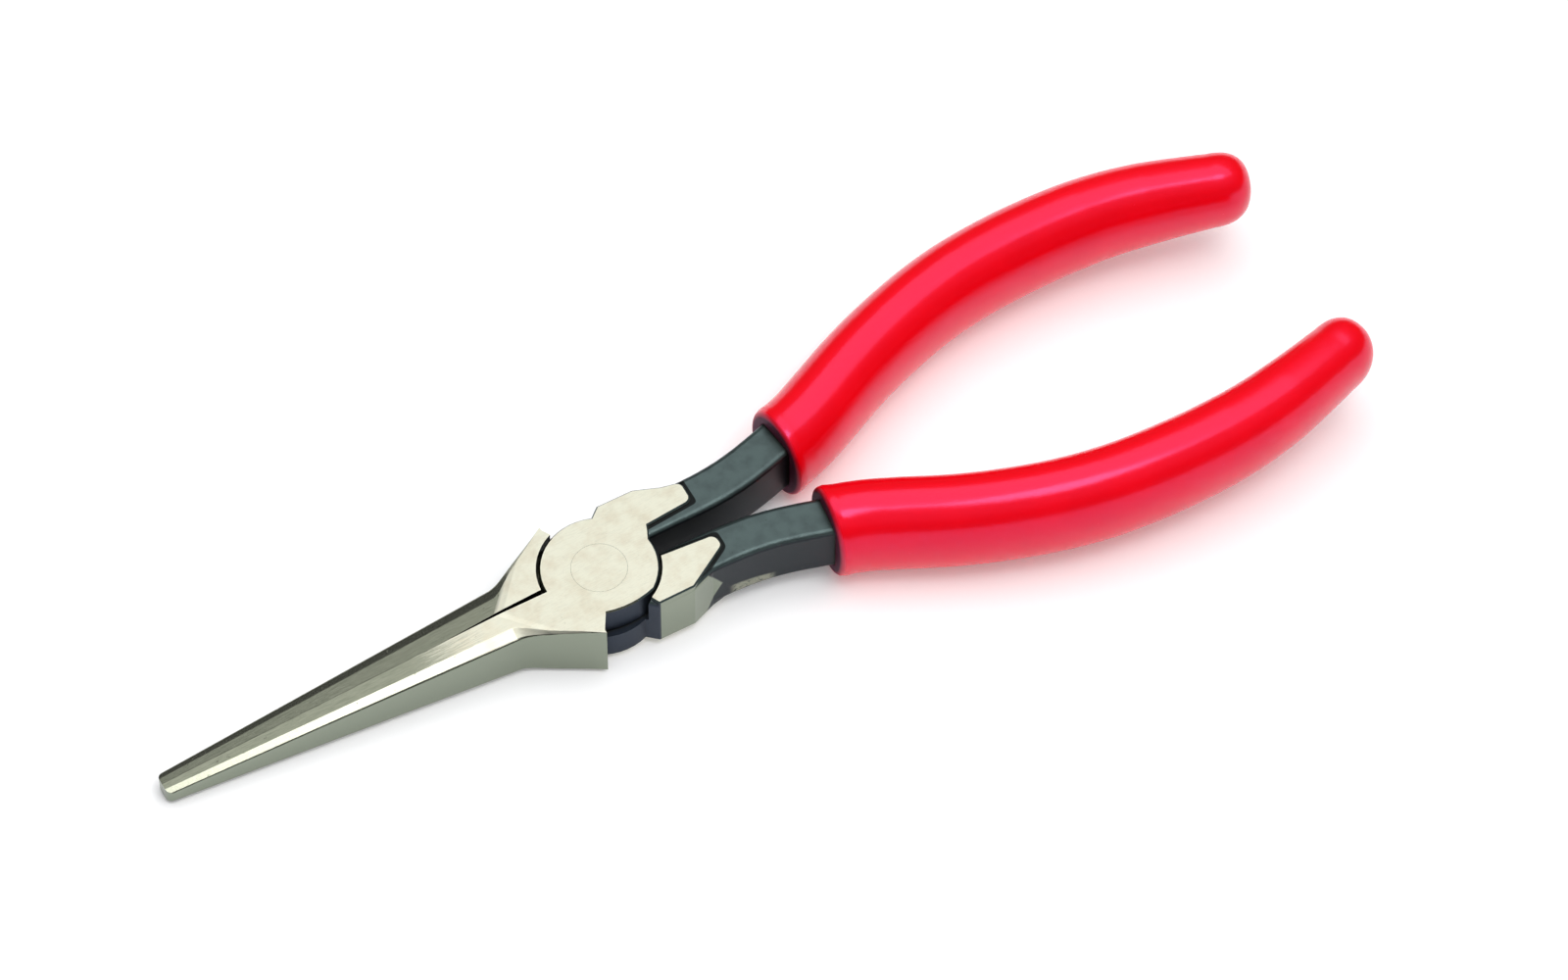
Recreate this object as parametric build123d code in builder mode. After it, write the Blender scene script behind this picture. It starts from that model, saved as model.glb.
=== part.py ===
from build123d import *
from math import cos, hypot, radians, sin
import os

# Long-nose pliers with a riveted lap joint, drawn closed.
#
# X runs along the tool, with the nose towards -X and the handles towards +X. Z is the rivet's
# axis. The origin is on that axis, at the underside of the head, and lengths are millimetres.
#
# The two forged halves have one shape. The upper half carries the lap disc that lies on top, its
# jaw is on the -Y side and its handle on the +Y side. The lower half is the same forging given
# half a turn about the long axis through the middle of the head.

# Head and lap joint
HEAD_THICKNESS = 10.5
MID = HEAD_THICKNESS / 2
LAP_GAP = 0.05
DISC_RADIUS = 9.15
RECESS_RADIUS = 9.6
NOTCH_FLAT_RADIUS = 14
NOTCH_FLAT_CENTRE = (0.8, 5.9)
EDGE_BREAK = 0.25

# Rivet, countersunk and ground flush at both ends
RIVET_RADIUS = 3.0
RIVET_HEAD_RADIUS = 4.3
RIVET_HEAD_DEPTH = 1.3
RUNNING_CLEARANCE = 0.04

# Jaw
TIP_X = -73.9
TIP_HALF_WIDTH = 2.0
NOSE_WIDTH_SLOPE = 0.0515
SHOULDER_X = -5.4
SHOULDER_HALF_WIDTH = 10.2
SHOULDER_SLOPE = 0.53
NECK_SOFTNESS = 0.3
NOSE_START_X = -16.5
NOSE_HEIGHT_SLOPE = 0.0647
NOSE_CROSS_SLOPE = 0.056
SEAM_GAP = 0.06
TIP_CORNER = 1.3
# Cross-sections: x, width and drop of the bevel, radius of its two edges
NOSE_STATIONS = [(TIP_X, 1.0, 0.4, 0.3), (NOSE_START_X, 2.0, 0.85, 0.6)]
SHOULDER_STATIONS = [
    (NOSE_START_X, 2.0, 0.85, 0.6),
    (-14.5, 1.4, 0.65, 0.45),
    (-12.5, 0.8, 0.45, 0.3),
    (-10, 0.5, 0.32, 0.2),
    (-7, 0.4, 0.28, 0.15),
    (-2, 0.35, 0.25, 0.12),
]
JAW_END = [(-2.0, -5.5), (-3.0, -7.65), (-4.5, -10.2)]
# The outline that rounds the tip leaves the nose's wall from the corner on, and ends out here
TIP_OUTLINE_LENGTH = 20
TIP_OUTLINE_SPLAY = 0.3
OUTSIDE_Y = -14

# Relief beside the seam, cut in the ear that lies beside the other half's lap
EAR_RELIEF = 0.8
EAR_RELIEF_START_X = -27
EAR_RELIEF_FULL_X = -9

# Gripping serrations, which stop short of the outside faces
GROOVE_PITCH = 1.25
GROOVE_DEPTH = 0.4
GROOVE_HALF_WIDTH = 0.5
GROOVE_MARGIN = 0.9
GROOVE_COUNT = 27
FIRST_GROOVE_X = TIP_X + 1.5 * GROOVE_PITCH

# Handle: the tang's centre line, and the sleeve's, share the bend
TANG_HALF_WIDTH = 3.4
TANG_THICKNESS = 9.6
TANG_EDGE = 0.9
BEND = [(41.4, 10.3), (51.7, 15.1), (62, 19.1), (72.4, 21.9), (87.9, 23.35), (103.4, 22.4)]
TANG_LINE = [(12, 5.1), (18.5, 5.05), (24.8, 5.55), (33.8, 7.75)] + BEND + [(116, 19.5)]
GRIP_LINE = [(32, 7.2)] + BEND + [(119.2, 18.5)]
NECK_BLOCK = [(2.6, 8.0), (4.9, 10.0), (11.0, 10.0), (15.0, 8.45), (19, 8.4), (19, 1.7), (7, 1.5)]

# Raised ground faces: one on the side of the half's own lap disc, one on the recess side
DISC_SIDE_PAD = [
    (0, 0), (2.6, 8.0), (4.9, 10.0), (11.0, 10.0), (15.0, 8.45),
    (18.3, 7.7), (18.2, 3.95), (10.1, 3.25), (9.7, 2.2), (8.9, 0.5), (7, 0),
]
RECESS_SIDE_PAD = [(3, 6), (4.9, 10.0), (11.0, 9.9), (18.4, 5.4), (18.2, 3.05), (8, 2.3)]
PAD_CORNER = 1.3

# Grip sleeve: half-widths and half-heights of its oval section, evenly spaced along its line
GRIP_HALF_WIDTHS = [6.3, 6.3, 6.25, 6.2, 6.2, 6.2, 6.1, 5.8, 5.2]
GRIP_HALF_HEIGHTS = [8.2, 8.25, 8.35, 8.45, 8.5, 8.4, 8.2, 7.7, 6.8]
GRIP_CAP_LENGTH = 6.5
GRIP_RIM_X = 35.8
GRIP_RIM_TURN = 7
GRIP_RIM_ROUND = 0.7

LONG_AXIS = Axis((0, 0, MID), (1, 0, 0))


def jaw_half_width(x):
    """Outer wall of the jaw: the tapering nose runs smoothly into the slanting shoulder."""
    nose = TIP_HALF_WIDTH + NOSE_WIDTH_SLOPE * (x - TIP_X)
    shoulder = SHOULDER_HALF_WIDTH + SHOULDER_SLOPE * (x - SHOULDER_X)
    return (nose + shoulder) / 2 + hypot((nose - shoulder) / 2, NECK_SOFTNESS)


def jaw_half_height(x):
    """Height of the nose above the middle plane, at the seam."""
    return MID + NOSE_HEIGHT_SLOPE * (x - NOSE_START_X)


def jaw_section(x, bevel_width, bevel_drop, edge_radius):
    """Sketch one cross-section of the jaw, with its two outer corners bevelled."""
    seam = -SEAM_GAP / 2
    wall = -jaw_half_width(x)
    bevel = wall + bevel_width
    top = jaw_half_height(x)
    bevel_top = top + NOSE_CROSS_SLOPE * bevel
    wall_top = bevel_top - bevel_drop
    with BuildSketch(Plane.YZ.offset(x)) as section:
        with BuildLine():
            Polyline(
                (seam, MID - top), (seam, MID + top), (bevel, MID + bevel_top),
                (wall, MID + wall_top), (wall, MID - wall_top), (bevel, MID - bevel_top),
                close=True,
            )
        make_face()
        outer_corners = section.vertices().sort_by(Axis.X)[:4]
        fillet(outer_corners, edge_radius)
    return section.sketch


def jaw():
    """The nose and the shoulder it grows from, cut to the thickness of the head."""
    outline_x = TIP_X + TIP_OUTLINE_LENGTH
    outline_y = -TIP_HALF_WIDTH - TIP_OUTLINE_LENGTH * NOSE_WIDTH_SLOPE - TIP_OUTLINE_SPLAY
    with BuildPart() as blank:
        loft(sections=[jaw_section(*station) for station in NOSE_STATIONS], ruled=True)
        loft(sections=[jaw_section(*station) for station in SHOULDER_STATIONS])
        with BuildSketch(Plane.XY) as plan:
            with BuildLine():
                Polyline(
                    (TIP_X, 0), (TIP_X, -TIP_HALF_WIDTH), (outline_x, outline_y), (outline_x, OUTSIDE_Y),
                    (JAW_END[-1][0], OUTSIDE_Y), *reversed(JAW_END), (0, 0), close=True,
                )
            make_face()
            tip_corner = plan.vertices().group_by(Axis.X)[0].sort_by(Axis.Y)[0]
            fillet(tip_corner, TIP_CORNER)
        extrude(amount=HEAD_THICKNESS, mode=Mode.INTERSECT)
        with BuildSketch(Plane.XY):
            with BuildLine():
                Polyline(
                    (EAR_RELIEF_START_X, 0), (EAR_RELIEF_FULL_X, -EAR_RELIEF), (0, -EAR_RELIEF), (0, 0),
                    close=True,
                )
            make_face()
        extrude(amount=MID, mode=Mode.SUBTRACT)
        for index in range(GROOVE_COUNT):
            x = FIRST_GROOVE_X + index * GROOVE_PITCH
            half_length = jaw_half_height(x) - GROOVE_MARGIN
            with BuildSketch(Plane.XY.offset(MID)):
                with BuildLine():
                    Polyline(
                        (x - GROOVE_HALF_WIDTH, 0), (x + GROOVE_HALF_WIDTH, 0), (x, -GROOVE_DEPTH),
                        close=True,
                    )
                make_face()
            extrude(amount=half_length, both=True, mode=Mode.SUBTRACT)
    return blank.part


def lap_disc():
    """The round lap, flattened where the notch below the jaw shows its edge."""
    with BuildPart() as disc:
        with BuildSketch(Plane.XY.offset(MID + LAP_GAP / 2)):
            Circle(DISC_RADIUS)
            with Locations(NOTCH_FLAT_CENTRE):
                Circle(NOTCH_FLAT_RADIUS, mode=Mode.INTERSECT)
        extrude(amount=MID - LAP_GAP / 2)
        chamfer(disc.faces().sort_by(Axis.Z)[-1].edges(), EDGE_BREAK)
    return disc.part


def ground_pad(outline, start, height, rounded):
    """A raised face of the head, with its free corners rounded."""
    with BuildPart() as pad:
        with BuildSketch(Plane.XY.offset(start)) as plan:
            with BuildLine():
                Polyline(*outline, close=True)
            make_face()
            fillet(plan.vertices().sort_by(Axis.X)[-2:], rounded)
        extrude(amount=height)
        chamfer(pad.faces().sort_by(Axis.Z)[-1 if start > 0 else 0].edges(), EDGE_BREAK)
    return pad.part


def tang():
    """The handle bar that the sleeve covers, with the neck that joins it to the head."""
    with BuildPart() as bar:
        with BuildSketch(Plane.XY.offset(MID - TANG_THICKNESS / 2)):
            with BuildLine():
                Polyline(*NECK_BLOCK, close=True)
            make_face()
        extrude(amount=TANG_THICKNESS)
        long_edges = bar.edges().group_by(Axis.Z)
        fillet(long_edges[0] + long_edges[-1], TANG_EDGE)
        with BuildLine() as line:
            Spline(*[(x, y, MID) for x, y in TANG_LINE])
        with BuildSketch(Plane(line.line @ 0, x_dir=(0, 1, 0), z_dir=line.line % 0)):
            RectangleRounded(2 * TANG_HALF_WIDTH, TANG_THICKNESS, TANG_EDGE)
        sweep(path=line.line)
    return bar.part


def rivet_shape(clearance):
    """The rivet, or with a clearance the hole that it turns in."""
    shank = RIVET_RADIUS + clearance
    head = RIVET_HEAD_RADIUS + clearance
    with BuildPart() as shape:
        with BuildSketch(Plane.XZ):
            with BuildLine():
                Polyline(
                    (0, 0), (head, 0), (shank, RIVET_HEAD_DEPTH),
                    (shank, HEAD_THICKNESS - RIVET_HEAD_DEPTH), (head, HEAD_THICKNESS),
                    (0, HEAD_THICKNESS), close=True,
                )
            make_face()
        revolve(axis=Axis.Z)
    return shape.part


def forged_half(rivet_clearance):
    """One forging: jaw, lap disc, raised faces, tang, the recess for the other disc and the bore."""
    with BuildPart() as half:
        add(tang())
        add(ground_pad(RECESS_SIDE_PAD, 0, MID, PAD_CORNER))
        add(jaw())
        with Locations((0, 0, MID + LAP_GAP / 2)):
            Cylinder(
                RECESS_RADIUS, 2 * HEAD_THICKNESS, align=(Align.CENTER, Align.CENTER, Align.MAX),
                mode=Mode.SUBTRACT,
            )
        add(lap_disc())
        add(ground_pad(DISC_SIDE_PAD, MID + LAP_GAP / 2, MID - LAP_GAP / 2, PAD_CORNER))
        add(rivet_shape(rivet_clearance), mode=Mode.SUBTRACT)
    return half.part


def grip_section(place, half_width, half_height):
    """One oval section of the sleeve."""
    with BuildSketch(place) as section:
        Ellipse(half_height, half_width)
    return section.sketch


def sleeve():
    """The grip: an oval sleeve, domed at its far end, that fills out round the tang."""
    rim = Plane(
        (GRIP_RIM_X, 0, MID),
        z_dir=(cos(radians(GRIP_RIM_TURN)), sin(radians(GRIP_RIM_TURN)), 0),
    )
    with BuildPart() as grip:
        with BuildLine() as line:
            Spline(*[(x, y, MID) for x, y in GRIP_LINE])
        curve = line.line
        sections = []
        for index, (half_width, half_height) in enumerate(zip(GRIP_HALF_WIDTHS, GRIP_HALF_HEIGHTS)):
            t = index / (len(GRIP_HALF_WIDTHS) - 1)
            place = Plane(curve @ t, x_dir=(0, 0, 1), z_dir=curve % t)
            sections.append(grip_section(place, half_width, half_height))
        loft(sections=sections)
        split(bisect_by=rim, keep=Keep.TOP)
        fillet(grip.edges().sort_by(Axis.X)[0], GRIP_RIM_ROUND)
        dome = scale(
            Sphere(1, mode=Mode.PRIVATE),
            by=(GRIP_CAP_LENGTH, GRIP_HALF_WIDTHS[-1], GRIP_HALF_HEIGHTS[-1]), mode=Mode.PRIVATE,
        )
        add(dome.moved(Plane(curve @ 1, x_dir=curve % 1, z_dir=(0, 0, 1)).location))
        add(tang(), mode=Mode.SUBTRACT)
    return grip.part


with BuildPart() as upper_half:
    add(forged_half(RUNNING_CLEARANCE))
upper_half.part.label = "upper_half"

with BuildPart() as lower_half:
    add(forged_half(0).rotate(LONG_AXIS, 180))
lower_half.part.label = "lower_half"

with BuildPart() as rivet:
    add(rivet_shape(0))
rivet.part.label = "rivet"

with BuildPart() as upper_grip:
    add(sleeve())
upper_grip.part.label = "upper_grip"

with BuildPart() as lower_grip:
    add(sleeve().rotate(LONG_AXIS, 180))
lower_grip.part.label = "lower_grip"

os.makedirs("parts", exist_ok=True)
for piece in (upper_half, lower_half, rivet, upper_grip, lower_grip):
    export_step(piece.part, f"parts/{piece.part.label}.step")
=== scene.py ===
from math import atan2, cos, pi, radians, sin
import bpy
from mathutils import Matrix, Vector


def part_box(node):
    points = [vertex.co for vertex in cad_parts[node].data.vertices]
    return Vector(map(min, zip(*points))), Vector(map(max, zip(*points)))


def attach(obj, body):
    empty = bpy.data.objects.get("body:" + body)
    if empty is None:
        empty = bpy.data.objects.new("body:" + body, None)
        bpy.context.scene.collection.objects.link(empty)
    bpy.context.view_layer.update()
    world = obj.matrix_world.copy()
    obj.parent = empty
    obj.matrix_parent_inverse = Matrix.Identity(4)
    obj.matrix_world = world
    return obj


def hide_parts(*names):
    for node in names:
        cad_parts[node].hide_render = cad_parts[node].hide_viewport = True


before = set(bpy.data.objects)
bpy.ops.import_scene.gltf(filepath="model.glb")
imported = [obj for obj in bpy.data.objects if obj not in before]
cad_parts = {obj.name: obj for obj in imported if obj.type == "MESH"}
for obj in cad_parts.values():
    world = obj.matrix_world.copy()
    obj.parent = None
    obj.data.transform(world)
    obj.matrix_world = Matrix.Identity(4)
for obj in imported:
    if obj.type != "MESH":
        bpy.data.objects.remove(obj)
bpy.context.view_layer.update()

from types import SimpleNamespace

import bpy
import numpy as np
from mathutils import Matrix, Vector

MM = 0.001
HEAD_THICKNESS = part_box("rivet")[1].z / MM
MID = HEAD_THICKNESS / 2

# Each half's own coordinates, in mm: the lower half is the upper one turned about the long axis
HALF_TURN = {"upper": (1, 1, 1), "lower": (1, -1, -1)}
HALF_SHIFT = {"upper": (0, 0, 0), "lower": (0, 0, HEAD_THICKNESS)}

# Steel colours, linear
GROUND_STEEL = (0.80, 0.79, 0.655, 1)
GROUND_STEEL_WARM = (0.73, 0.69, 0.55, 1)
NOSE_STEEL = (0.21, 0.22, 0.17, 1)
NOSE_STEEL_DARK = (0.13, 0.145, 0.105, 1)
# A lighter copy of the nose's steel for its outer bevel: a painted highlight
NOSE_BEVEL_HIGHLIGHT = (0.36, 0.37, 0.29, 1)
WORN_STEEL = (0.34, 0.35, 0.27, 1)
SIDE_STEEL = (0.245, 0.275, 0.215, 1)
BLACK_OXIDE = (0.085, 0.118, 0.116, 1)
# A darker oxide for random patches, also used as painted shade on the handle's walls
BLACK_OXIDE_PATCH_AND_WALL_SHADE = (0.026, 0.031, 0.036, 1)
NOTCH_OXIDE = (0.040, 0.050, 0.070, 1)
# Grease in pits, and the same colour used as painted shade in corners, in gaps and in the seam between the
# jaws
GREASE_AND_SHADE = (0.045, 0.045, 0.030, 1)
STEP_SHADE = (0.008, 0.010, 0.010, 1)
# Bare steel on rubbed edges, light enough to stand as a painted highlight along them
WORN_EDGE_AND_HIGHLIGHT = (0.24, 0.29, 0.29, 1)

# Where the black finish begins round the ground faces, in each half's plan: points on the straight
# edges and their outward directions, first for the face on its lap's side, then for the other
LAP_SIDE_EDGES = [((18.25, 5), (1, 0)), ((10.1, 3.25), (0.086, -0.996))]
RECESS_SIDE_EDGES = [((11.0, 9.9), (0.52, 0.854)), ((18.3, 4), (1, 0)), ((8, 2.3), (0.073, -0.997))]
STEP_WIDTH = 0.5
STEP_CORNER = 1.2

# Where the other finishes lie on a forging, in mm in the half's own coordinates
HANDLE_START_X = 2.2
GRIPPING_END_X = -9
GRIPPING_FACE_Y = -0.75
SHOULDER_WALL_START_X = 5.0
SHOULDER_WALL_START_Y = 7.0
SHOULDER_WALL_POINT_X = 16.6
SHOULDER_WALL_POINT_SLOPE = -0.6
NOTCH_X = (-4.3, 5.0)
NOTCH_RADIUS = 6.5
WORN_STRIPE_X = (19.2, 24.2)
WORN_STRIPE_Z = (0.0, 9.2)
WORN_STRIPE_SLOPE = 0.10
WORN_STRIPE_LOW_Z = 5.4
RUN_OUT_X = (-33.0, -19.0)
RUN_OUT_STREAK = 11.0

# Finishes: roughness, the spacing of turned rings and the depth of relief in mm
NOSE_ROUGH = 0.22
GROUND_ROUGH = 0.48
OXIDE_ROUGH = 0.42
NOTCH_ROUGH = 0.5
LAP_RING_PITCH = 0.3
RIVET_RING_PITCH = 0.45
BRUSH_DEPTH = 0.006
PIT_DEPTH = 0.02
PEEL_DEPTH = 0.012
VINYL_ROUGH = 0.20
MOUTH_ROUGH = 0.65

# Vinyl colours, linear
VINYL_RED = (0.86, 0.0006, 0.0050, 1)
VINYL_DEEP_RED = (0.82, 0.0005, 0.0045, 1)
# Painted shade for the sleeve's end face and bore
VINYL_RIM_SHADE = (0.05, 0.0006, 0.003, 1)

# Sleeve: the centre line of the upper grip in plan and its section, in mm
GRIP_LINE = [
    (32, 7.2), (41.4, 10.3), (51.7, 15.1), (62, 19.1), (72.4, 21.9), (87.9, 23.35), (103.4, 22.4),
    (119.2, 18.5),
]
GRIP_HALF_WIDTHS = [6.3, 6.3, 6.25, 6.2, 6.2, 6.2, 6.1, 5.8, 5.2]
GRIP_HALF_HEIGHTS = [8.2, 8.25, 8.35, 8.45, 8.5, 8.4, 8.2, 7.7, 6.8]
GRIP_CAP_LENGTH = 6.3
GRIP_RIM_X = 35.8
GRIP_RIM_TURN = radians(7)
GRIP_OVAL_POWER = 2.12
RINGS_PER_GRIP = 150
RINGS_PER_CAP = 26
POINTS_PER_RING = 112
CAP_POWER = 2.6

# Sleeve's mouth: a small bead, a rounded lip, and the bore that the tang fills
BEAD_HEIGHT = 0.16
BEAD_LENGTH = 1.1
LIP_RADIUS = 0.8
LIP_STEPS = 9
FACE_STEPS = 7
FIRST_RING_GAP = 0.35
RIM_FADE = 9
BORE_LIP = 0.36
MOUTH_DEPTH = 2.6
TANG_HALF_WIDTH = 3.4
TANG_HALF_THICKNESS = 4.8
BORE_CLEARANCE = 0.05
BORE_POWER = 7

# Floor: the tool rests on the lower front edge of the head and on the sleeves' rims. The floor
# glows a little, so that the shadows on it stay faint.
HEAD_REST_X = -16.5
SLEEVE_REST = (36.8, -3.1)
FLOOR_HALF_SIZE = 2500
FLOOR_GAP = 0.02
FLOOR_WHITE = (0.86, 0.86, 0.87, 1)
FLOOR_PALE = (0.88, 0.88, 0.885, 1)
FLOOR_GLOW = 0.15

# Camera: where the middle of the head lies in its view (right, up, forward), in mm
CAMERA_AZIMUTH = radians(-29.316)
CAMERA_ELEVATION = radians(56.653)
CAMERA_ROLL = radians(0.266)
HEAD_IN_VIEW = (-27.94, -14.62, 1044.22)
LENS = 158.0
SENSOR_WIDTH = 36

# Room: how bright it is near the horizon and overhead
HORIZON_STRENGTH = 0.11
OVERHEAD_STRENGTH = 0.36


class Graph:
    """A material's nodes round one Principled shader, with a short method for each node it uses."""

    def __init__(self, name):
        self.material = bpy.data.materials.new(name)
        self.material.use_nodes = True
        self.tree = self.material.node_tree
        self.tree.nodes.clear()
        self.shader = self.tree.nodes.new("ShaderNodeBsdfPrincipled")
        output = self.tree.nodes.new("ShaderNodeOutputMaterial")
        self.tree.links.new(self.shader.outputs["BSDF"], output.inputs["Surface"])

    def put(self, socket, value):
        if isinstance(value, bpy.types.NodeSocket):
            self.tree.links.new(value, socket)
        else:
            socket.default_value = value

    def surface(self, **values):
        for name, value in values.items():
            self.put(self.shader.inputs[name.replace("_", " ")], value)

    def add(self, kind, inputs, output=0, **settings):
        node = self.tree.nodes.new(kind)
        for name, value in settings.items():
            setattr(node, name, value)
        for name, value in inputs.items():
            self.put(node.inputs[name], value)
        return node.outputs[output]

    def math(self, operation, a, b=0.0, clamp=False):
        return self.add("ShaderNodeMath", {0: a, 1: b}, operation=operation, use_clamp=clamp)

    def line(self, value, slope, start):
        """start where the value is 0, rising by slope for each 1 of it."""
        return self.add("ShaderNodeMath", {0: value, 1: slope, 2: start}, operation="MULTIPLY_ADD")

    def vector(self, operation, a, b=(0, 0, 0), output=0):
        return self.add("ShaderNodeVectorMath", {0: a, 1: b}, output, operation=operation)

    def both(self, *masks):
        result = masks[0]
        for mask in masks[1:]:
            result = self.math("MULTIPLY", result, mask)
        return result

    def either(self, *masks):
        result = masks[0]
        for mask in masks[1:]:
            result = self.math("MAXIMUM", result, mask)
        return result

    def outside(self, mask):
        return self.math("SUBTRACT", 1.0, mask)

    def rise(self, value, low, high):
        """0 below low, 1 above high, with a smooth step between."""
        inputs = {"Value": value, "From Min": low, "From Max": high}
        return self.add("ShaderNodeMapRange", inputs, interpolation_type="SMOOTHSTEP")

    def between(self, value, low, high, soft):
        past_high = self.rise(value, high, high + soft)
        return self.both(self.rise(value, low - soft, low), self.outside(past_high))

    def scaled(self, value, to_low, to_high):
        """A value from 0 to 1 spread from to_low to to_high."""
        return self.add("ShaderNodeMapRange", {"Value": value, "To Min": to_low, "To Max": to_high})

    def noise(self, place, scale, detail=3.0, roughness=0.5, stretch=(1, 1, 1)):
        stretched = self.vector("MULTIPLY", place, stretch)
        inputs = {"Vector": stretched, "Scale": scale, "Detail": detail, "Roughness": roughness}
        return self.add("ShaderNodeTexNoise", inputs)

    def mix(self, factor, a, b):
        node = self.tree.nodes.new("ShaderNodeMix")
        node.data_type = "RGBA"
        self.put(node.inputs["Factor"], factor)
        self.put(node.inputs[6], a)
        self.put(node.inputs[7], b)
        return node.outputs[2]

    def blend(self, factor, a, b):
        """Between two plain values."""
        node = self.tree.nodes.new("ShaderNodeMix")
        self.put(node.inputs["Factor"], factor)
        self.put(node.inputs[2], a)
        self.put(node.inputs[3], b)
        return node.outputs[0]

    def bump(self, height, depth_mm, normal=None):
        inputs = {"Height": height, "Distance": depth_mm * MM, "Strength": 1.0}
        if normal is not None:
            inputs["Normal"] = normal
        return self.add("ShaderNodeBump", inputs)

    def place(self, half):
        """Where the shaded point is, in mm in the half's own coordinates."""
        point = self.add("ShaderNodeTexCoord", {}, "Object")
        turn = tuple(axis / MM for axis in HALF_TURN[half])
        return self.vector("ADD", self.vector("MULTIPLY", point, turn), HALF_SHIFT[half])

    def facing(self, half):
        """The surface's direction, in the half's own coordinates."""
        return self.vector("MULTIPLY", self.add("ShaderNodeTexCoord", {}, "Normal"), HALF_TURN[half])

    def per_vertex(self, name):
        """A value that the mesh carries at each vertex."""
        return self.add("ShaderNodeAttribute", {}, "Fac", attribute_name=name)

    def axes(self, vector):
        node = self.tree.nodes.new("ShaderNodeSeparateXYZ")
        self.put(node.inputs[0], vector)
        return node.outputs[0], node.outputs[1], node.outputs[2]

    def beyond(self, place, edges):
        """How far a point lies beyond an outline's straight edges, with its corner rounded."""
        farthest = -100.0
        for (edge_x, edge_y), (out_x, out_y) in edges:
            from_edge = self.vector("SUBTRACT", place, (edge_x, edge_y, 0))
            distance = self.vector("DOT_PRODUCT", from_edge, (out_x, out_y, 0), output=1)
            values = {0: farthest, 1: distance, 2: STEP_CORNER}
            farthest = self.add("ShaderNodeMath", values, operation="SMOOTH_MAX")
        return farthest

    def crevice_shade(self, reach_mm, open_share, closed_share):
        """1 in corners and gaps, 0 where nothing stands within reach_mm."""
        openness = self.add("ShaderNodeAmbientOcclusion", {"Distance": reach_mm * MM}, "AO", samples=8)
        return self.rise(openness, open_share, closed_share)

    def edges(self, radius_mm):
        """1 on sharp edges, falling to 0 about radius_mm away from them."""
        rounded = self.add("ShaderNodeBevel", {"Radius": radius_mm * MM}, samples=6)
        true = self.add("ShaderNodeNewGeometry", {}, "Normal")
        return self.rise(self.vector("DOT_PRODUCT", rounded, true, 1), 0.995, 0.93)


def forging_zones(graph, place, half):
    """Masks for the finishes of one forging, and where a point lies and which way it faces."""
    x, y, z = graph.axes(place)
    _, along, up = graph.axes(graph.facing(half))
    height = graph.math("ABSOLUTE", graph.math("SUBTRACT", z, MID))
    level = graph.rise(graph.math("ABSOLUTE", up), 0.75, 0.95)
    wall = graph.outside(graph.rise(graph.math("ABSOLUTE", up), 0.35, 0.6))
    radius = graph.vector("LENGTH", graph.vector("MULTIPLY", place, (1, 1, 0)), output=1)

    ground = graph.both(level, graph.rise(height, MID - 0.12, MID - 0.06))
    lap = graph.both(level, graph.outside(graph.rise(height, 0.3, 0.5)))
    gripping = graph.both(
        graph.outside(graph.rise(x, GRIPPING_END_X - 0.5, GRIPPING_END_X)),
        graph.rise(along, 0.5, 0.65),
        graph.rise(y, GRIPPING_FACE_Y, GRIPPING_FACE_Y + 0.05),
    )
    handle = graph.both(graph.rise(x, HANDLE_START_X, HANDLE_START_X + 0.4), graph.outside(ground))
    # The polished outer wall of the handle's shoulder runs out to a point half way up
    wall_end = graph.line(height, SHOULDER_WALL_POINT_SLOPE, SHOULDER_WALL_POINT_X)
    before_end = graph.outside(graph.rise(graph.math("SUBTRACT", x, wall_end), -0.2, 0.2))
    shoulder_wall = graph.both(
        graph.rise(y, SHOULDER_WALL_START_Y, SHOULDER_WALL_START_Y + 0.4),
        graph.rise(x, SHOULDER_WALL_START_X, SHOULDER_WALL_START_X + 0.2),
        before_end, wall,
    )
    beyond_disc = graph.rise(radius, NOTCH_RADIUS, NOTCH_RADIUS + 0.3)
    in_notch = graph.both(graph.between(x, *NOTCH_X, 0.25), beyond_disc)
    above_stripe = graph.math("SUBTRACT", z, graph.line(x, WORN_STRIPE_SLOPE, WORN_STRIPE_LOW_Z))
    worn_stripe = graph.both(
        graph.between(x, *WORN_STRIPE_X, 1.6), graph.between(z, *WORN_STRIPE_Z, 0.4),
        graph.rise(above_stripe, -0.3, 0.3), graph.rise(along, 0.3, 0.6),
    )
    return SimpleNamespace(
        x=x, y=y, up=up, radius=radius, wall=wall, ground=ground, lap=lap, gripping=gripping,
        worn_stripe=worn_stripe, black=graph.both(handle, graph.outside(shoulder_wall)),
        notch_wall=graph.both(in_notch, graph.either(wall, lap)),
        bevel=graph.both(graph.rise(along, -0.15, -0.3), graph.outside(wall)),
    )


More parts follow.
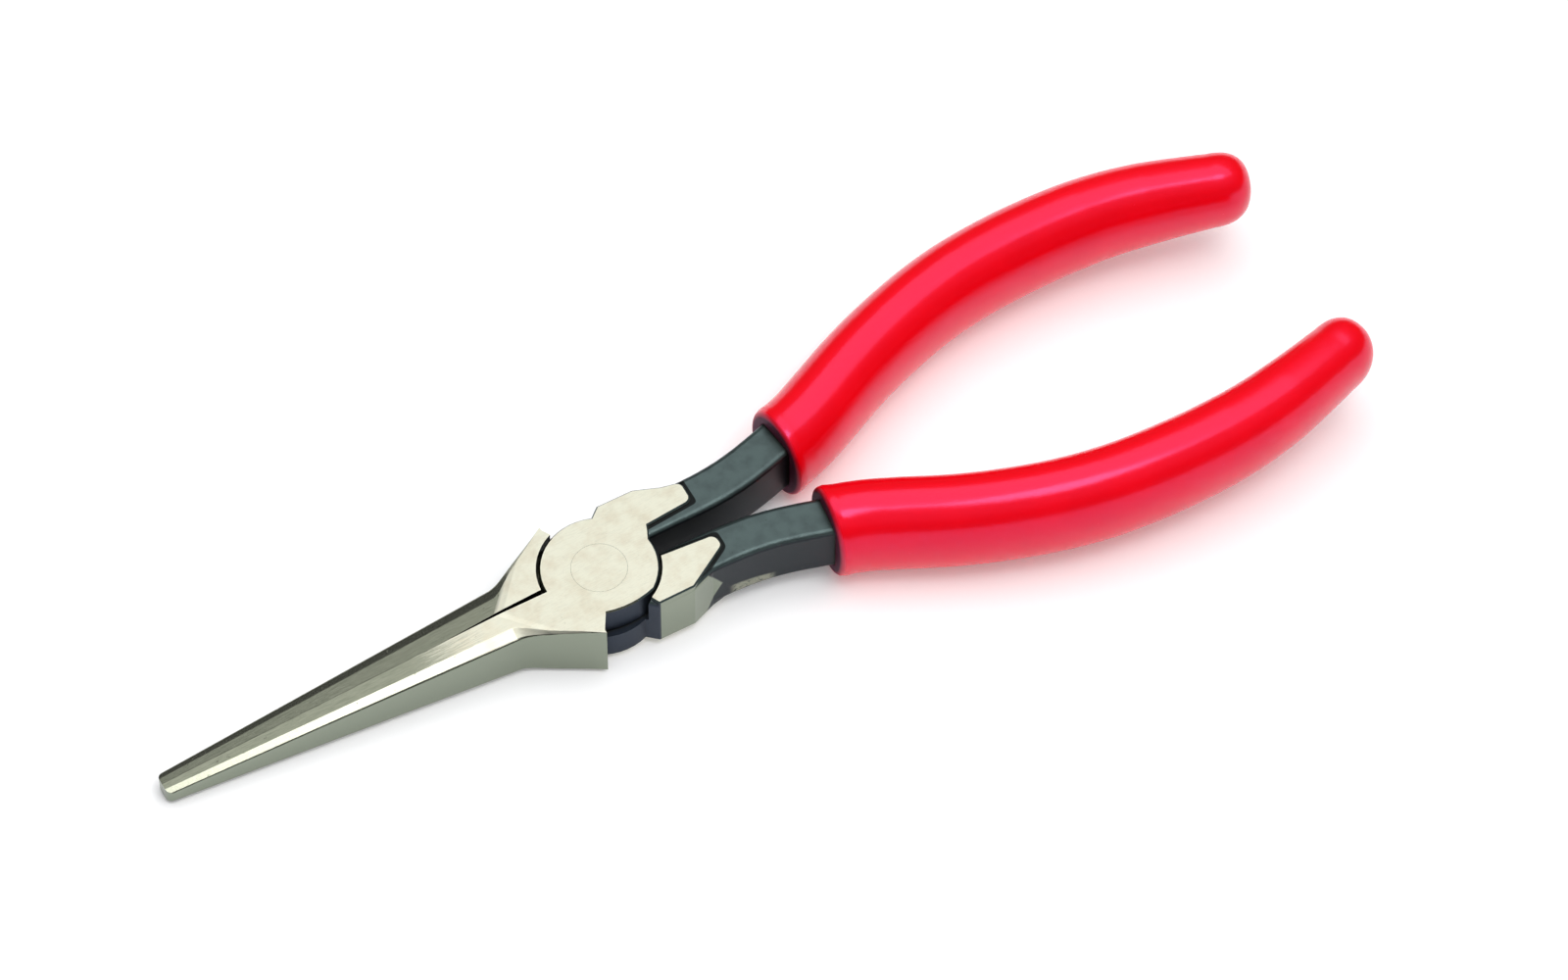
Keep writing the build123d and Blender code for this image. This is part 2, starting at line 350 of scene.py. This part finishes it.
def black_oxide(graph, place, zones, chips, worn_and_highlit):
    """The blackened handle's colour: patchy, with wear and a painted highlight on its edges, painted shade
    on its walls, and painted shade at the ground faces' steps.
    """
    patchy = graph.math("MULTIPLY", graph.rise(graph.noise(place, 0.5), 0.35, 0.75), 0.3)
    oxide = graph.mix(patchy, BLACK_OXIDE, BLACK_OXIDE_PATCH_AND_WALL_SHADE)
    # Painted shade: the handle's walls take the darker oxide, so they read darker than its tops
    oxide = graph.mix(zones.wall, oxide, BLACK_OXIDE_PATCH_AND_WALL_SHADE)
    # Wear on the edges, lightened further into a painted highlight along them
    oxide = graph.mix(graph.math("MULTIPLY", worn_and_highlit, 0.55), oxide, WORN_EDGE_AND_HIGHLIGHT)
    stripe = graph.both(zones.worn_stripe, graph.rise(chips, 0.30, 0.52))
    oxide = graph.mix(graph.math("MULTIPLY", stripe, 0.85), oxide, WORN_STEEL)
    near_lap_side = graph.between(graph.beyond(place, LAP_SIDE_EDGES), -0.3, STEP_WIDTH, 0.12)
    near_recess_side = graph.between(graph.beyond(place, RECESS_SIDE_EDGES), -0.3, STEP_WIDTH, 0.12)
    lap_side = graph.both(graph.rise(zones.up, 0.7, 0.9), near_lap_side)
    recess_side = graph.both(graph.rise(zones.up, -0.7, -0.9), near_recess_side)
    return graph.mix(graph.either(lap_side, recess_side), oxide, STEP_SHADE)


def ground_steel(graph, place, grinding):
    """The colour of a ground face."""
    cloud = graph.noise(place, 0.35, 3.0, 0.6)
    steel = graph.mix(graph.rise(cloud, 0.38, 0.75), GROUND_STEEL, GROUND_STEEL_WARM)
    marks = graph.math("MULTIPLY", graph.rise(grinding, 0.45, 0.8), 0.22)
    return cloud, graph.mix(marks, steel, WORN_STEEL)


def half_steel(half):
    """One forging: ground head, grey nose, black handle, lap faces with turned rings, and painted shade in
    its corners and gaps.
    """
    graph = Graph(f"{half}_forging")
    place = graph.place(half)
    zones = forging_zones(graph, place, half)
    fine = graph.noise(place, 5.0, 4.0, 0.6)
    lengthwise = graph.noise(place, 1.0, 4.0, 0.65, (0.10, 7.0, 7.0))
    grinding = graph.noise(place, 1.0, 3.0, 0.6, (0.9, 9.0, 1.0))
    turning = graph.math("SINE", graph.math("MULTIPLY", zones.radius, 2 * pi / LAP_RING_PITCH))
    pits = graph.rise(graph.noise(place, 1.7, 2.0, 0.5), 0.70, 0.78)
    chips = graph.noise(place, 2.2, 5.0, 0.7)
    # Wear on sharp edges; on the black handle it also carries a painted highlight
    worn_and_highlit = graph.both(graph.edges(0.35), graph.rise(chips, 0.38, 0.62))

    cloud, steel = ground_steel(graph, place, grinding)
    streaks = graph.math("MULTIPLY", graph.rise(lengthwise, 0.35, 0.7), 0.6)
    nose = graph.mix(streaks, NOSE_STEEL, NOSE_STEEL_DARK)
    # Painted highlight: the outer bevel takes a lighter copy of the nose's steel
    nose = graph.mix(zones.bevel, nose, NOSE_BEVEL_HIGHLIGHT)
    # On the lap's side the grinding runs out along the nose in streaks
    streaky_x = graph.math("ADD", zones.x, graph.scaled(lengthwise, -RUN_OUT_STREAK, RUN_OUT_STREAK))
    run_out = graph.both(
        graph.rise(streaky_x, *RUN_OUT_X), graph.rise(zones.up, 0.7, 0.85), graph.scaled(cloud, 0.65, 1.0),
    )
    smooth = graph.either(zones.ground, zones.lap, run_out)
    color = graph.mix(smooth, nose, steel)
    color = graph.mix(graph.both(zones.wall, graph.outside(zones.gripping)), color, SIDE_STEEL)
    # Grease and painted shade on the gripping faces between the jaws
    grooves = graph.both(zones.gripping, graph.rise(zones.y, -0.1, -0.35))
    color = graph.mix(graph.math("MULTIPLY", grooves, 0.8), color, GREASE_AND_SHADE)
    color = graph.mix(zones.black, color, black_oxide(graph, place, zones, chips, worn_and_highlit))
    color = graph.mix(zones.notch_wall, color, NOTCH_OXIDE)
    # Painted shade in corners and gaps, from how enclosed each point is, and dirt in the pits
    color = graph.mix(graph.math("MULTIPLY", graph.crevice_shade(0.9, 0.80, 0.35), 0.85), color, GREASE_AND_SHADE)
    color = graph.mix(graph.math("MULTIPLY", pits, graph.blend(zones.black, 0.10, 0.25)), color, GREASE_AND_SHADE)

    rough = graph.blend(smooth, NOSE_ROUGH, GROUND_ROUGH)
    rough = graph.blend(zones.black, rough, OXIDE_ROUGH)
    rough = graph.blend(zones.notch_wall, rough, NOTCH_ROUGH)
    rough = graph.math("ADD", rough, graph.scaled(fine, -0.06, 0.07))
    rough = graph.math("ADD", rough, graph.math("MULTIPLY", worn_and_highlit, -0.10), clamp=True)

    lines = graph.blend(graph.either(zones.ground, zones.black), lengthwise, grinding)
    lines = graph.blend(zones.lap, lines, turning)
    relief = graph.blend(zones.black, lines, graph.math("MULTIPLY", fine, 1.6))
    normal = graph.bump(relief, BRUSH_DEPTH)
    normal = graph.bump(graph.math("MULTIPLY", pits, -1.0), PIT_DEPTH, normal)
    metal = graph.blend(zones.black, 1.0, 0.85)
    graph.surface(Base_Color=color, Metallic=metal, Roughness=rough, Normal=normal)
    return graph.material


def rivet_steel():
    """The rivet, all in the head's ground steel with turned rings; on the real tool its shank is drawn
    bright.
    """
    graph = Graph("rivet_steel_ground")
    place = graph.place("upper")
    radius = graph.vector("LENGTH", graph.vector("MULTIPLY", place, (1, 1, 0)), output=1)
    grinding = graph.noise(place, 1.0, 3.0, 0.6, (0.9, 9.0, 1.0))
    rings = graph.math("SINE", graph.math("MULTIPLY", radius, 2 * pi / RIVET_RING_PITCH))
    _, color = ground_steel(graph, place, grinding)
    rough = graph.math("ADD", GROUND_ROUGH, graph.scaled(graph.noise(place, 5.0), -0.06, 0.07))
    relief = graph.math("ADD", grinding, graph.math("MULTIPLY", rings, 0.15))
    normal = graph.bump(relief, BRUSH_DEPTH)
    graph.surface(Base_Color=color, Metallic=1.0, Roughness=rough, Normal=normal)
    return graph.material


def vinyl(half):
    """Dipped vinyl: saturated glossy red, with the faint unevenness that dipping leaves."""
    graph = Graph(f"{half}_vinyl_red")
    place = graph.place(half)
    pool = graph.noise(place, 0.12, 3.0, 0.5)
    peel = graph.noise(place, 0.9, 2.0, 0.4)
    grain = graph.noise(place, 9.0, 2.0, 0.5)
    scuffs = graph.rise(graph.noise(place, 1.0, 5.0, 0.7, (0.5, 2.5, 2.5)), 0.66, 0.76)
    color = graph.mix(graph.rise(pool, 0.35, 0.7), VINYL_RED, VINYL_DEEP_RED)
    mouth = graph.per_vertex("mouth")
    # Painted shade on the sleeve's end face and in its bore, fading out over the outer lip
    color = graph.mix(mouth, color, VINYL_RIM_SHADE)
    rough = graph.math("ADD", graph.blend(mouth, VINYL_ROUGH, MOUTH_ROUGH), graph.scaled(peel, -0.03, 0.04))
    rough = graph.math("ADD", rough, graph.math("MULTIPLY", scuffs, 0.12))
    height = graph.math("ADD", peel, graph.math("MULTIPLY", grain, 0.06))
    normal = graph.bump(height, PEEL_DEPTH)
    graph.surface(
        Base_Color=color, Roughness=rough, Normal=normal, IOR=1.44, Coat_Weight=0.05, Coat_Roughness=0.12,
        Specular_IOR_Level=0.75, Specular_Tint=(1.0, 0.35, 1.0, 1),
        Subsurface_Weight=0.04, Subsurface_Radius=(1.0, 0.2, 0.1), Subsurface_Scale=0.0012,
    )
    return graph.material


def spline_through(points, count):
    """Evenly spaced points, and their directions, on the natural cubic spline through some points."""
    points = np.array(points, float)
    chords = np.linalg.norm(np.diff(points, axis=0), axis=1)
    knots = np.concatenate([[0], np.cumsum(chords)])
    size = len(points)
    system = np.eye(size)
    right_side = np.zeros((size, 2))
    for i in range(1, size - 1):
        system[i, i - 1:i + 2] = [chords[i - 1], 2 * (chords[i - 1] + chords[i]), chords[i]]
        slopes = np.diff(points[i - 1:i + 2], axis=0) / chords[i - 1:i + 1, None]
        right_side[i] = 6 * (slopes[1] - slopes[0])
    bends = np.linalg.solve(system, right_side)
    where = np.linspace(0, knots[-1], count)
    span = np.clip(np.searchsorted(knots, where, side="right") - 1, 0, size - 2)
    width = chords[span][:, None]
    after = (where - knots[span])[:, None]
    before = width - after
    line = (bends[span] * before ** 3 + bends[span + 1] * after ** 3) / (6 * width)
    line += (points[span] / width - bends[span] * width / 6) * before
    line += (points[span + 1] / width - bends[span + 1] * width / 6) * after
    directions = np.gradient(line, axis=0)
    return line, directions / np.linalg.norm(directions, axis=1)[:, None]


def rounded_ring(power):
    """Points round a unit superellipse: an ellipse at power 2, nearly a rectangle at power 7."""
    turn = np.linspace(0, 2 * pi, POINTS_PER_RING, endpoint=False)
    wide = np.sign(np.cos(turn)) * np.abs(np.cos(turn)) ** (2 / power)
    high = np.sign(np.sin(turn)) * np.abs(np.sin(turn)) ** (2 / power)
    return wide, high


def sideways(direction):
    """The level direction at right angles to another."""
    return np.array([-direction[1], direction[0]])


def on_rim(start, direction, half_width, half_height, power, depth):
    """A ring in the slanting plane of the rim, moved depth mm into the sleeve."""
    wide, high = rounded_ring(power)
    plan = start + np.outer(wide * half_width, sideways(direction))
    rim_direction = np.array([cos(GRIP_RIM_TURN), sin(GRIP_RIM_TURN)])
    slide = (plan - np.array([GRIP_RIM_X, 0])) @ rim_direction
    plan = plan - np.outer(slide / (direction @ rim_direction), direction) + depth * direction
    return np.column_stack([plan, MID + high * half_height])


def across_line(centre, direction, half_width, half_height):
    """A ring square to the sleeve's line."""
    wide, high = rounded_ring(GRIP_OVAL_POWER)
    plan = centre + np.outer(wide * half_width, sideways(direction))
    return np.column_stack([plan, MID + high * half_height])


def mouth_rings(half_width, half_height):
    """The mouth from the bore outwards: half-width, half-height, power, depth and shade of each ring."""
    bore_width = TANG_HALF_WIDTH + BORE_CLEARANCE
    bore_height = TANG_HALF_THICKNESS + BORE_CLEARANCE
    face_width = half_width - LIP_RADIUS - bore_width - BORE_LIP
    face_height = half_height - LIP_RADIUS - bore_height - BORE_LIP
    rings = [(bore_width, bore_height, BORE_POWER, depth, 1.0) for depth in (MOUTH_DEPTH, LIP_RADIUS)]
    for step in range(1, LIP_STEPS + 1):
        angle = pi / 2 * step / LIP_STEPS
        out = BORE_LIP * (1 - cos(angle))
        depth = LIP_RADIUS * (1 - sin(angle))
        rings.append((bore_width + out, bore_height + out, BORE_POWER, depth, 1.0))
    for step in range(1, FACE_STEPS):
        share = step / FACE_STEPS
        power = BORE_POWER + (GRIP_OVAL_POWER - BORE_POWER) * share ** 0.5
        width = bore_width + BORE_LIP + face_width * share
        height = bore_height + BORE_LIP + face_height * share
        rings.append((width, height, power, 0.0, 1.0))
    for step in range(LIP_STEPS + 1):
        angle = pi / 2 * step / LIP_STEPS
        inset = LIP_RADIUS * (1 - sin(angle))
        depth = LIP_RADIUS * (1 - cos(angle))
        shade = 1 - step / LIP_STEPS
        rings.append((half_width - inset, half_height - inset, GRIP_OVAL_POWER, depth, shade))
    return rings


def sleeve_rings():
    """The upper sleeve's rings in order, mouth, outside and domed end, with their shade and its tip."""
    line, directions = spline_through(GRIP_LINE, RINGS_PER_GRIP)
    share = np.linspace(0, 1, RINGS_PER_GRIP)
    stations = np.linspace(0, 1, len(GRIP_HALF_WIDTHS))
    half_widths = np.interp(share, stations, GRIP_HALF_WIDTHS)
    half_heights = np.interp(share, stations, GRIP_HALF_HEIGHTS)
    rim_direction = np.array([cos(GRIP_RIM_TURN), sin(GRIP_RIM_TURN)])
    behind = (line - np.array([GRIP_RIM_X, 0])) @ rim_direction
    first = int(np.argmax(behind > 0))
    past_rim = behind[first] / (behind[first] - behind[first - 1])
    start = line[first] - (line[first] - line[first - 1]) * past_rim
    direction = directions[first]

    rings = []
    shades = []
    for wide, high, power, depth, shade in mouth_rings(half_widths[first], half_heights[first]):
        rings.append(on_rim(start, direction, wide, high, power, depth))
        shades.append(shade)
    for index in range(first + 1, RINGS_PER_GRIP):
        travelled = np.linalg.norm(line[index] - start)
        if travelled > LIP_RADIUS + FIRST_RING_GAP:
            bead = BEAD_HEIGHT * np.exp(-((travelled - LIP_RADIUS) / BEAD_LENGTH) ** 2)
            wide = half_widths[index] + bead
            high = half_heights[index] + bead
            square = across_line(line[index], directions[index], wide, high)
            slanted = on_rim(start, direction, wide, high, GRIP_OVAL_POWER, travelled)
            settled = np.clip((travelled - LIP_RADIUS) / RIM_FADE, 0, 1)
            settled = settled * settled * (3 - 2 * settled)
            rings.append(slanted * (1 - settled) + square * settled)
            shades.append(0.0)
    for step in range(1, RINGS_PER_CAP):
        angle = pi / 2 * step / RINGS_PER_CAP
        out = GRIP_CAP_LENGTH * sin(angle) ** (2 / CAP_POWER)
        shrink = cos(angle) ** (2 / CAP_POWER)
        centre = line[-1] + out * directions[-1]
        wide = half_widths[-1] * shrink
        high = half_heights[-1] * shrink
        rings.append(across_line(centre, directions[-1], wide, high))
        shades.append(0.0)
    tip = np.array([*(line[-1] + GRIP_CAP_LENGTH * directions[-1]), MID])
    return rings, shades, tip


def sleeve_mesh(half):
    """One sleeve as a closed skin of rings."""
    rings, shades, tip = sleeve_rings()
    points = np.vstack([*rings, rings[0].mean(axis=0), tip])
    points = points * np.array(HALF_TURN[half]) + np.array(HALF_SHIFT[half])
    count = POINTS_PER_RING
    faces = []
    for ring in range(len(rings) - 1):
        here = ring * count
        beyond = here + count
        for i in range(count):
            j = (i + 1) % count
            faces.append((here + i, here + j, beyond + j, beyond + i))
    last = (len(rings) - 1) * count
    for i in range(count):
        j = (i + 1) % count
        faces.append((i, len(points) - 2, j))
        faces.append((last + i, last + j, len(points) - 1))
    mesh = bpy.data.meshes.new(f"{half}_vinyl_sleeve")
    mesh.from_pydata([tuple(point * MM) for point in points], [], faces)
    mouth = mesh.attributes.new("mouth", "FLOAT", "POINT")
    values = np.concatenate([np.repeat(shades, count), [1.0, 0.0]])
    mouth.data.foreach_set("value", values.astype(np.float32))
    mesh.polygons.foreach_set("use_smooth", [True] * len(mesh.polygons))
    mesh.update()
    mesh.validate()
    return mesh


def make_sleeve(half):
    """Put a detailed sleeve where the CAD's plain one is."""
    piece = bpy.data.objects.new(f"{half}_vinyl_sleeve", sleeve_mesh(half))
    bpy.context.scene.collection.objects.link(piece)
    piece.data.materials.append(vinyl(half))
    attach(piece, f"{half}_body")
    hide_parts(f"{half}_grip")


def paint(node, material):
    """Give a CAD node one material in all of its slots."""
    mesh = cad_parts[node].data
    mesh.materials.clear()
    mesh.materials.append(material)


def make_floor():
    """A plain pale floor through the points that the tool rests on."""
    slope = atan2(-SLEEVE_REST[1], SLEEVE_REST[0] - HEAD_REST_X)
    half = FLOOR_HALF_SIZE * MM
    mesh = bpy.data.meshes.new("floor")
    corners = [(-half, -half, 0), (half, -half, 0), (half, half, 0), (-half, half, 0)]
    mesh.from_pydata(corners, [], [(0, 1, 2, 3)])
    floor = bpy.data.objects.new("floor", mesh)
    bpy.context.scene.collection.objects.link(floor)
    rest = Matrix.Translation((HEAD_REST_X * MM, 0, -FLOOR_GAP * MM))
    floor.matrix_world = rest @ Matrix.Rotation(slope, 4, "Y")
    graph = Graph("pale_floor")
    point = graph.add("ShaderNodeTexCoord", {}, "Object")
    drift = graph.noise(point, 3.0, 2.0, 0.5)
    graph.surface(
        Base_Color=graph.mix(drift, FLOOR_WHITE, FLOOR_PALE), Roughness=0.9,
        Emission_Color=(1, 1, 1, 1), Emission_Strength=FLOOR_GLOW,
    )
    mesh.materials.append(graph.material)


def make_camera():
    """A long lens, looking down on the tool from the nose's side."""
    turn = (
        Matrix.Rotation(CAMERA_AZIMUTH, 4, "Z")
        @ Matrix.Rotation(pi / 2 - CAMERA_ELEVATION, 4, "X")
        @ Matrix.Rotation(CAMERA_ROLL, 4, "Z")
    )
    right, up, forward = HEAD_IN_VIEW
    middle = Vector((0, 0, MID)) * MM
    offset = turn @ Vector((right, up, -forward)) * MM
    data = bpy.data.cameras.new("camera")
    data.lens = LENS
    data.sensor_width = SENSOR_WIDTH
    data.clip_start = 0.01
    data.clip_end = 20
    camera = bpy.data.objects.new("camera", data)
    bpy.context.scene.collection.objects.link(camera)
    camera.matrix_world = Matrix.Translation(middle - offset) @ turn
    bpy.context.scene.camera = camera


def area_light(name, direction, distance, size, watts, in_reflections=True):
    """A soft light that faces the tool from some direction."""
    data = bpy.data.lights.new(name, "AREA")
    data.shape = "RECTANGLE"
    data.size, data.size_y = size
    data.energy = watts
    lamp = bpy.data.objects.new(name, data)
    bpy.context.scene.collection.objects.link(lamp)
    towards = Vector(direction).normalized()
    lamp.location = Vector((0.02, 0, 0)) + towards * distance
    lamp.rotation_mode = "QUATERNION"
    lamp.rotation_quaternion = towards.to_track_quat("Z", "Y")
    lamp.visible_glossy = in_reflections


def make_studio():
    """A pale room, a broad softbox and a small key panel overhead, and a fill seen in no reflection."""
    world = bpy.data.worlds.new("studio")
    bpy.context.scene.world = world
    world.use_nodes = True
    nodes = world.node_tree.nodes
    links = world.node_tree.links
    background = nodes["Background"]
    background.inputs["Color"].default_value = (0.96, 0.98, 1.0, 1)
    direction = nodes.new("ShaderNodeTexCoord")
    split = nodes.new("ShaderNodeSeparateXYZ")
    lift = nodes.new("ShaderNodeMapRange")
    lift.interpolation_type = "SMOOTHSTEP"
    lift.inputs["From Min"].default_value = 0.25
    lift.inputs["From Max"].default_value = 0.95
    lift.inputs["To Min"].default_value = HORIZON_STRENGTH
    lift.inputs["To Max"].default_value = OVERHEAD_STRENGTH
    links.new(direction.outputs["Generated"], split.inputs[0])
    links.new(split.outputs["Z"], lift.inputs["Value"])
    links.new(lift.outputs[0], background.inputs["Strength"])
    area_light("overhead_softbox", (0.20, 0.08, 0.97), 1.0, (1.3, 0.95), 5.6)
    area_light("key_panel", (0.16, -0.30, 0.94), 1.0, (0.34, 0.34), 1.6)
    area_light("floor_fill", (0, -0.15, 1), 1.8, (4.5, 4.5), 39, in_reflections=False)
    view = bpy.context.scene.view_settings
    view.view_transform = "Standard"
    view.look = "None"


make_camera()
make_floor()
make_studio()
paint("upper_half", half_steel("upper"))
paint("lower_half", half_steel("lower"))
paint("rivet", rivet_steel())
make_sleeve("upper")
make_sleeve("lower")
